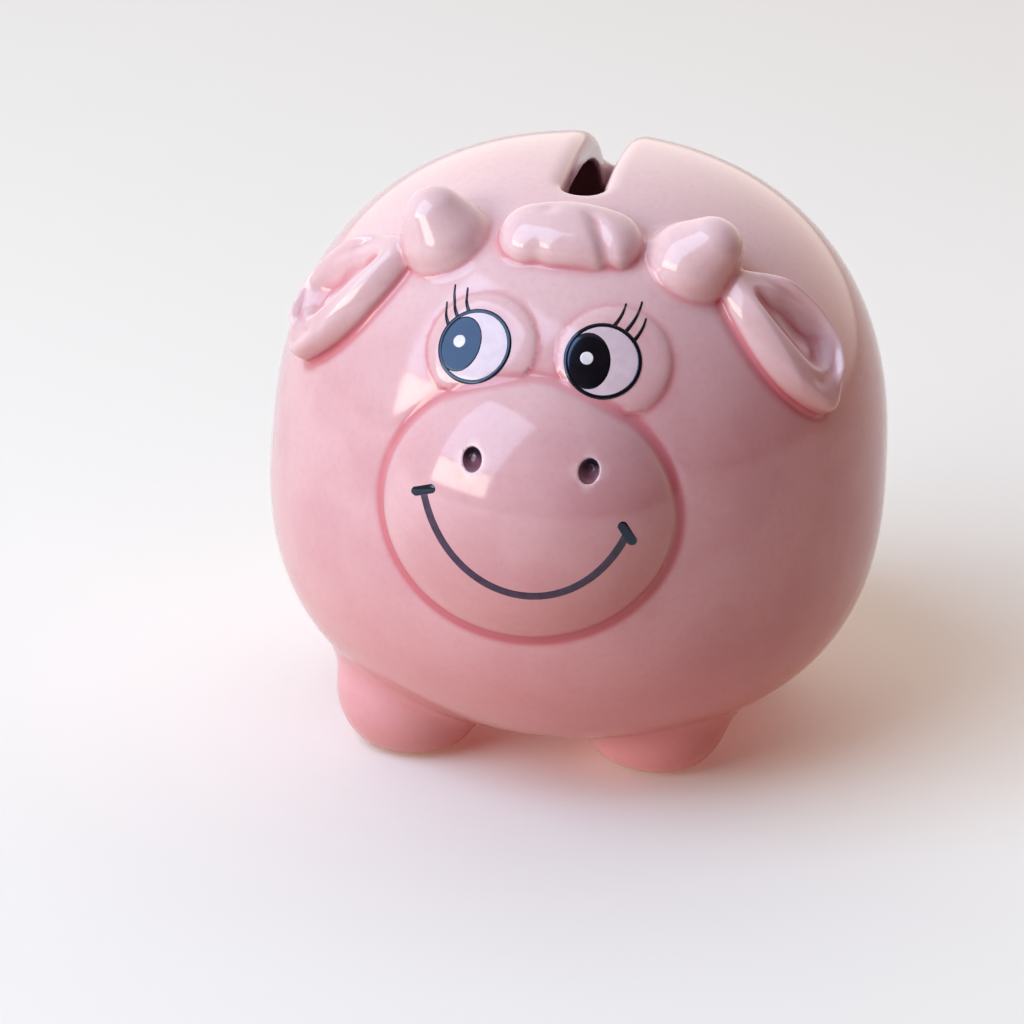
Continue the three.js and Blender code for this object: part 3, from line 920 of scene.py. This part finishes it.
def stopper(p):
    """A soft hollow plug: a flange under the seat, a ribbed neck, and a grip bar in a round recess."""
    x, y, z = p[:, 0], p[:, 1] - HOLE["back"], p[:, 2]
    radial = np.hypot(x, y)
    top = SEAT - 0.05
    bottom = top - STOPPER["thickness"]
    high = top + STOPPER["length"] - 0.3
    flange = rounded_disc(radial, z, STOPPER["flange"], bottom, top, 0.45)
    neck = STOPPER["neck"] - 0.9 * ramp(z, high - 2.2, high)
    plug = rounded_disc(radial, z, neck, bottom + 0.4, high, 0.5)
    rib = np.hypot(radial - STOPPER["rib"] + 0.55, (z - top - 3.6) * 0.8) - 0.55
    distance = smooth_min(smooth_min(flange, plug, 0.5), rib, 0.4)
    hollow = rounded_disc(radial, z, STOPPER["neck"] - STOPPER["wall"] - 0.6, top + 0.3, high + 3.0, 0.9)
    distance = smooth_max(distance, -hollow, 0.3)
    recess = rounded_disc(radial, z, GRIP["radius"], bottom - 3.0, bottom + GRIP["depth"], 0.25)
    distance = smooth_max(distance, -recess, 0.3)
    bar = np.maximum(np.abs(y) - GRIP["bar"] / 2.0, np.abs(z - bottom - 0.9) - 0.85)
    bar = smooth_max(bar, radial - GRIP["radius"] - 0.3, 0.4)
    nub = np.hypot(radial, (z - bottom + 0.02) * 3.0) - 0.55
    return smooth_min(smooth_min(distance, bar, 0.35), nub, 0.15)


def make_stopper(rubber):
    reach = STOPPER["flange"] + 1.0
    low = (-reach, HOLE["back"] - reach, SEAT - 2.5)
    high = (reach, HOLE["back"] + reach, SEAT + STOPPER["length"] + 1.0)
    vertices, quads = solid_mesh(stopper, low, high, 0.26)
    piece = make_object("base_stopper_soft", vertices, quads, "stopper", "soft_plastic", "base_stopper")
    piece.data.materials.append(rubber)
    steep = slopes(stopper, places_of(piece), 0.04)
    steep /= np.maximum(np.linalg.norm(steep, axis=1, keepdims=True), 1e-6)
    smooth_normals(piece, steep, 0.9)
    return piece


# ---------------------------------------------------------------- materials
def tone(red, green, blue):
    """A colour as the renderer takes it, from the eight-bit numbers of a colour chip."""
    linear = []
    for value in (red, green, blue):
        share = value / 255.0
        linear.append(share / 12.92 if share < 0.04045 else ((share + 0.055) / 1.055) ** 2.4)
    return (*linear, 1.0)


def plug(tree, socket, value):
    """Links a socket to another one, or sets its value."""
    if isinstance(value, bpy.types.NodeSocket):
        tree.links.new(value, socket)
    else:
        socket.default_value = value


class Nodes:
    """A material and short ways to add nodes to it."""

    def __init__(self, name):
        self.material = bpy.data.materials.new(name)
        self.material.use_nodes = True
        self.tree = self.material.node_tree
        self.tree.nodes.clear()
        self.output = self.tree.nodes.new("ShaderNodeOutputMaterial")

    def add(self, kind, **sockets):
        node = self.tree.nodes.new(kind)
        self.feed(node, sockets)
        return node

    def feed(self, node, sockets):
        for name, value in sockets.items():
            plug(self.tree, node.inputs[name.replace("_", " ")], value)

    def attribute(self, name):
        node = self.tree.nodes.new("ShaderNodeAttribute")
        node.attribute_name = name
        return node.outputs["Fac"]

    def math(self, operation, first, second=0.0):
        node = self.tree.nodes.new("ShaderNodeMath")
        node.operation = operation
        plug(self.tree, node.inputs[0], first)
        plug(self.tree, node.inputs[1], second)
        return node.outputs[0]

    def mix(self, factor, first, second):
        node = self.tree.nodes.new("ShaderNodeMix")
        node.data_type = "RGBA"
        plug(self.tree, node.inputs[0], factor)
        plug(self.tree, node.inputs[6], first)
        plug(self.tree, node.inputs[7], second)
        return node.outputs[2]

    def noise(self, scale, detail=3.0, roughness=0.5):
        place = self.tree.nodes.new("ShaderNodeTexCoord").outputs["Object"]
        node = self.add("ShaderNodeTexNoise", Vector=place, Scale=scale, Detail=detail, Roughness=roughness)
        return node.outputs["Fac"]

    def shift(self, value, low, high, new_low=0.0, new_high=1.0):
        node = self.tree.nodes.new("ShaderNodeMapRange")
        node.interpolation_type = "SMOOTHSTEP"
        numbers = {"Value": value, "From_Min": low, "From_Max": high, "To_Min": new_low, "To_Max": new_high}
        self.feed(node, numbers)
        return node.outputs["Result"]

    def finish(self, **sockets):
        shader = self.add("ShaderNodeBsdfPrincipled", **sockets)
        self.tree.links.new(shader.outputs[0], self.output.inputs["Surface"])
        return self.material


GLAZE = {
    # Pooled glaze, partly painted shade in creases and under things.
    "pooled_and_shaded": tone(206, 106, 119),
    "thin": tone(236, 202, 206),
    # Painted light: the paler top.
    "crown": tone(236, 201, 204),
    # Painted shade low down and on downward-facing surfaces.
    "low_shade": tone(222, 144, 144),
    "bisque": tone(214, 176, 156),
}


def glaze(name, plain, cloud):
    """A pink glaze that runs thin on ridges, pools in creases and was wiped off the soles, with painted shade
    in creases, under things and low down, and painted light on the top.
    """
    nodes = Nodes(name)
    clouds = nodes.shift(nodes.noise(130.0, 2.0), 0.35, 0.68)
    specks = nodes.shift(nodes.noise(1500.0, 2.0, 0.6), 0.42, 0.75)
    colour = nodes.mix(clouds, plain, cloud)
    # Painted light from above: the top turns paler.
    colour = nodes.mix(nodes.math("MULTIPLY", nodes.attribute("crown"), 0.8), colour, GLAZE["crown"])
    # Painted shade low down and on downward-facing surfaces.
    colour = nodes.mix(nodes.math("MULTIPLY", nodes.attribute("low_shade"), 0.75), colour, GLAZE["low_shade"])
    colour = nodes.mix(nodes.math("MULTIPLY", specks, 0.10), colour, GLAZE["pooled_and_shaded"])
    colour = nodes.mix(nodes.math("MULTIPLY", nodes.attribute("thin"), 0.75), colour, GLAZE["thin"])
    # Pooled glaze and painted shade in creases and under things.
    colour = nodes.mix(nodes.attribute("pool_and_shade"), colour, GLAZE["pooled_and_shaded"])
    bare = nodes.attribute("bare")
    grit = nodes.shift(nodes.noise(2600.0, 3.0, 0.7), 0.3, 0.8)
    bisque = nodes.mix(grit, GLAZE["bisque"], tone(186, 140, 122))
    colour = nodes.mix(bare, colour, bisque)
    ripple = nodes.noise(420.0, 1.0)
    relief = nodes.math("ADD", nodes.math("MULTIPLY", ripple, 0.25), nodes.math("MULTIPLY", grit, bare))
    bumps = nodes.add("ShaderNodeBump", Strength=0.12, Distance=0.0003, Height=relief)
    rough = nodes.shift(bare, 0.0, 1.0, 0.11, 0.75)
    return nodes.finish(Base_Color=colour, Roughness=rough, IOR=1.52, Normal=bumps.outputs[0])


BLUE_SHEEN = (0.52, 0.68, 1.0, 1.0)


def ink(name, dark, light, sheen=(1.0, 1.0, 1.0, 1.0), index=1.52):
    """Fired enamel: one colour that wavers a little, under a gloss like the glaze's."""
    nodes = Nodes(name)
    waver = nodes.shift(nodes.noise(900.0, 2.0), 0.3, 0.7)
    colour = nodes.mix(waver, dark, light)
    return nodes.finish(Base_Color=colour, Roughness=0.12, IOR=index, Specular_Tint=sheen)


def nostril_ink():
    nodes = Nodes("nostril_enamel")
    rise = nodes.shift(nodes.attribute("rise"), 0.3, 0.85)
    waver = nodes.math("MULTIPLY", nodes.noise(900.0, 2.0), 0.2)
    # Darker towards the top of each dimple and paler towards its bottom.
    colour = nodes.mix(nodes.math("ADD", rise, waver), tone(124, 78, 92), tone(30, 22, 48))
    return nodes.finish(Base_Color=colour, Roughness=0.14, IOR=1.52)


def soft_plastic():
    nodes = Nodes("stopper_plastic")
    haze = nodes.shift(nodes.noise(300.0, 3.0), 0.3, 0.7)
    colour = nodes.mix(haze, tone(232, 229, 222), tone(216, 212, 203))
    grain = nodes.add("ShaderNodeBump", Strength=0.2, Distance=0.0001, Height=nodes.noise(6000.0, 2.0))
    rough = nodes.shift(haze, 0.0, 1.0, 0.38, 0.5)
    return nodes.finish(Base_Color=colour, Roughness=rough, IOR=1.5, Normal=grain.outputs[0])


# ---------------------------------------------------------------- the object
body_glaze = glaze("body_glaze", tone(222, 173, 179), tone(215, 161, 168))
raised_glaze = glaze("raised_glaze", tone(218, 178, 182), tone(210, 166, 171))
foot_glaze = glaze("foot_glaze", tone(228, 166, 174), tone(220, 154, 162))
PART_GLAZE = {"body_glaze": body_glaze, "raised_glaze": raised_glaze, "foot_glaze": foot_glaze}

make_body().data.materials.append(body_glaze)
for part in PARTS:
    piece = make_part(part)
    piece.data.materials.append(PART_GLAZE[piece["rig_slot"]])

eye_white = ink("eye_enamel", tone(224, 204, 214), tone(216, 194, 206))
black_ink = ink("black_enamel", tone(9, 6, 12), tone(20, 15, 24), BLUE_SHEEN, 1.62)
glint_white = ink("glint_enamel", tone(238, 234, 240), tone(222, 214, 224))
smile_ink = ink("smile_enamel", tone(48, 28, 56), tone(70, 45, 76))
make_eye("left", 1.0, eye_white, black_ink, glint_white)
make_eye("right", -1.0, eye_white, black_ink, glint_white)
make_smile(smile_ink, black_ink)
make_nostrils(nostril_ink())
make_stopper(soft_plastic())


# ---------------------------------------------------------------- stage, light and camera
CAMERA = {"azimuth": 7.4, "elevation": 20.0, "roll": 3.6, "distance": 350.0, "lens": 126.0}
AIM = {"height": 27.2, "right": -6.55, "up": -6.18}
WORLD = {
    "front": (0.36, 0.35, 0.36, 1.0),
    "right": (0.10, 0.035, 0.02, 1.0),
    "behind": (1.42, 1.31, 1.19, 1.0),
    "bounce_left": (0.84, 0.74, 0.75, 1.0),
    "bounce_right": (0.42, 0.14, 0.08, 1.0),
}


def direction(azimuth, elevation):
    """The way from the object to something at an azimuth and an elevation, as for the camera."""
    a, e = math.radians(azimuth), math.radians(elevation)
    return Vector((math.sin(a) * math.cos(e), -math.cos(a) * math.cos(e), math.sin(e)))


def make_floor(size=6000.0):
    half = size / 2.0 * MM
    mesh = bpy.data.meshes.new("floor")
    corners = [(-half, -half, 0), (half, -half, 0), (half, half, 0), (-half, half, 0)]
    mesh.from_pydata(corners, [], [(0, 1, 2, 3)])
    floor = bpy.data.objects.new("floor", mesh)
    bpy.context.scene.collection.objects.link(floor)
    floor.visible_diffuse = False
    nodes = Nodes("floor_paper")
    pale = nodes.mix(nodes.noise(40.0, 2.0), tone(252, 249, 242), tone(250, 247, 241))
    floor.data.materials.append(nodes.finish(Base_Color=pale, Roughness=0.9))
    return floor


def make_light(name, azimuth, elevation, distance, size, power, colour):
    light = bpy.data.lights.new(name, "AREA")
    light.shape = "RECTANGLE"
    light.size, light.size_y = size
    light.energy = power
    light.color = colour
    lamp = bpy.data.objects.new(name, light)
    bpy.context.scene.collection.objects.link(lamp)
    way = direction(azimuth, elevation)
    lamp.location = way * distance + Vector((0.0, 0.0, 0.03))
    lamp.rotation_euler = way.to_track_quat("Z", "Y").to_euler()
    return lamp


def make_world():
    """Each colour lies over the one before it: dark at the right, light behind, then the bounce below."""
    world = bpy.data.worlds.new("studio")
    bpy.context.scene.world = world
    world.use_nodes = True
    tree = world.node_tree
    tree.nodes.clear()
    way = tree.nodes.new("ShaderNodeTexCoord").outputs["Generated"]
    parts = tree.nodes.new("ShaderNodeSeparateXYZ")
    tree.links.new(way, parts.inputs[0])

    def laid_over(under, colour, axis, low, high):
        """A colour over another: none of it at low along the axis and all of it at high."""
        spread = tree.nodes.new("ShaderNodeMapRange")
        spread.interpolation_type = "SMOOTHSTEP"
        spread.inputs["From Min"].default_value = low
        spread.inputs["From Max"].default_value = high
        tree.links.new(parts.outputs[axis], spread.inputs["Value"])
        mix = tree.nodes.new("ShaderNodeMix")
        mix.data_type = "RGBA"
        plug(tree, mix.inputs[0], spread.outputs["Result"])
        plug(tree, mix.inputs[6], under)
        plug(tree, mix.inputs[7], colour)
        return mix.outputs[2]

    light = laid_over(WORLD["front"], WORLD["right"], "X", -0.9, 0.5)
    light = laid_over(light, WORLD["behind"], "Y", -0.1, 1.0)
    bounce = laid_over(WORLD["bounce_left"], WORLD["bounce_right"], "X", -0.8, 0.7)
    light = laid_over(light, bounce, "Z", 0.05, -0.15)
    sky = tree.nodes.new("ShaderNodeBackground")
    sky.inputs["Strength"].default_value = 1.0
    tree.links.new(light, sky.inputs["Color"])
    output = tree.nodes.new("ShaderNodeOutputWorld")
    tree.links.new(sky.outputs[0], output.inputs["Surface"])


def make_camera():
    back = direction(CAMERA["azimuth"], CAMERA["elevation"])
    a, roll = math.radians(CAMERA["azimuth"]), math.radians(CAMERA["roll"])
    level = Vector((math.cos(a), math.sin(a), 0.0))
    upright = back.cross(level)
    right = math.cos(roll) * level + math.sin(roll) * upright
    up = math.cos(roll) * upright - math.sin(roll) * level
    middle = Vector((0.0, AXIS_Y, AIM["height"])) * MM
    place = middle + back * CAMERA["distance"] * MM
    target = middle + (right * AIM["right"] + up * AIM["up"]) * MM
    z = (place - target).normalized()
    x = up.cross(z).normalized()
    y = z.cross(x)
    data = bpy.data.cameras.new("camera")
    data.lens, data.sensor_width = CAMERA["lens"], 36.0
    data.clip_start, data.clip_end = 0.01, 20.0
    camera = bpy.data.objects.new("camera", data)
    bpy.context.scene.collection.objects.link(camera)
    camera.matrix_world = Matrix.Translation(place) @ Matrix((x, y, z)).transposed().to_4x4()
    bpy.context.scene.camera = camera


make_floor()
make_world()
make_light("window_sky", -47.0, 43.0, 1.26, (1.00, 1.00), 14.2, (0.54, 0.74, 1.0))
make_light("window_sun", -47.0, 13.0, 1.26, (0.90, 0.32), 7.3, (0.94, 0.93, 0.78))
make_light("ceiling", 10.0, 82.0, 1.50, (1.25, 1.25), 1.9, (1.0, 0.76, 0.66))
make_camera()
bpy.context.scene.view_settings.view_transform = "Standard"
